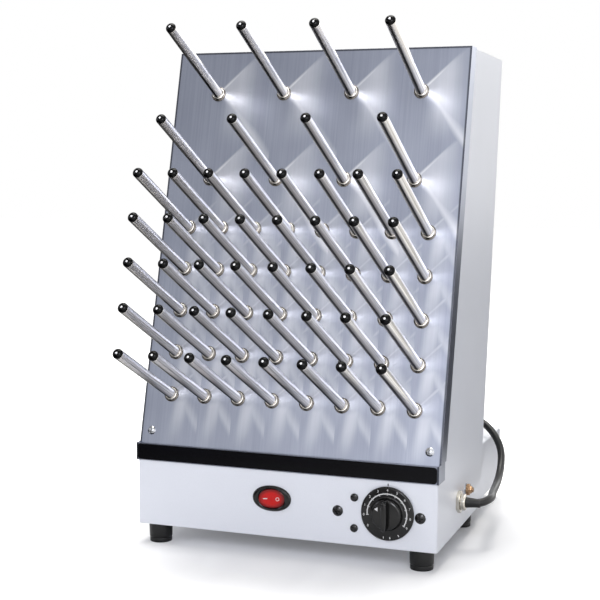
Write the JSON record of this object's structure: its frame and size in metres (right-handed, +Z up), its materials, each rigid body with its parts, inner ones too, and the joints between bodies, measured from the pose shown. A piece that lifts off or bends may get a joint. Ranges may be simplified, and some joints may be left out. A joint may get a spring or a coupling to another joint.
{
  "type": "glassware dryer",
  "caption": "Bench dryer for laboratory glassware: a white cabinet with a leaning stainless panel of capped air pegs, a drip channel, a switch and a heat dial.",
  "frame": {"origin": "on the bench under the middle of the dryer, its cord left out", "axes": "+X to the right seen from the front, +Y to the back, +Z up"},
  "size_m": [0.3451, 0.566, 0.5155],
  "materials": {
    "white_paint": "smooth powder coat",
    "stainless_panel": "polished, fine upright grain",
    "stainless_peg": "polished tube",
    "cap_black": "glossy moulded",
    "trim_black": "glossy",
    "control_black": "satin moulded",
    "rocker_red": "translucent red",
    "screw_black": "black oxide",
    "screw_steel": "plated",
    "plain_steel": "zinc plated",
    "rubber_black": "matte",
    "gland_nickel": "nickel plated",
    "earth_brass": "turned",
    "cord_black": "satin sheath",
    "motor_silver": "cast",
    "blower_black": "moulded",
    "heater_sheath": "heat tinted",
    "terminal_white": "moulded"
  },
  "bodies": {
    "base": {"cabinet_shell": "white_paint", "bottom_plate": "white_paint", "rear_cover": "white_paint", "rear_housing": "white_paint", "peg_panel": "stainless_panel", "drip_channel": "stainless_panel", "channel_trim": "trim_black", "panel_screws": "screw_steel", "control_screws": "screw_black", "blanking_plugs": "screw_black", "control_plate": "plain_steel", "switch_body": "control_black", "regulator_body": "control_black", "feet": "rubber_black", "foot_screws": "plain_steel", "foot_nuts": "plain_steel", "gland_body": "gland_nickel", "gland_lock_nut": "gland_nickel", "gland_cap_nut": "gland_nickel", "gland_seal": "rubber_black", "earth_stud": "earth_brass", "earth_washer": "screw_steel", "earth_thumb_nut": "earth_brass", "earth_inner_nut": "plain_steel", "blower_scroll": "blower_black", "blower_mounts": "rubber_black", "motor_stator": "motor_silver", "heater_element": "heater_sheath", "heater_brackets": "plain_steel", "thermal_cutout": "terminal_white", "terminal_block": "terminal_white", "mains_cord": "cord_black", "cord_coil": "cord_black", "mains_plug": "cord_black", "plug_pins": "earth_brass", "pegs_row_1": "stainless_peg", "peg_caps_row_1": "cap_black", "pegs_row_2": "stainless_peg", "peg_caps_row_2": "cap_black", "pegs_row_3": "stainless_peg", "peg_caps_row_3": "cap_black", "pegs_row_4": "stainless_peg", "peg_caps_row_4": "cap_black", "pegs_row_5": "stainless_peg", "peg_caps_row_5": "cap_black", "pegs_row_6": "stainless_peg", "peg_caps_row_6": "cap_black", "pegs_row_7": "stainless_peg", "peg_caps_row_7": "cap_black"},
    "rocker": {"switch_rocker": "rocker_red"},
    "knob": {"control_knob": "control_black", "regulator_spindle": "plain_steel"},
    "rotor": {"impeller": "blower_black"}
  },
  "joints": [
    {"name": "rocker_tilt", "type": "hinge", "parent": "base", "child": "rocker", "pos_m": [-0.0162, -0.10619, 0.0581], "axis": [0, 0, 1], "range_deg": [-16, 0]},
    {"name": "knob_turn", "type": "hinge", "parent": "base", "child": "knob", "pos_m": [0.1011, -0.10919, 0.0542], "axis": [0, -1, 0], "range_deg": [-123, 120]},
    {"name": "impeller_spin", "type": "hinge", "parent": "base", "child": "rotor", "pos_m": [-0.0059, 0.15021, 0.05], "axis": [0, 0, 1], "continuous": true}
  ]
}
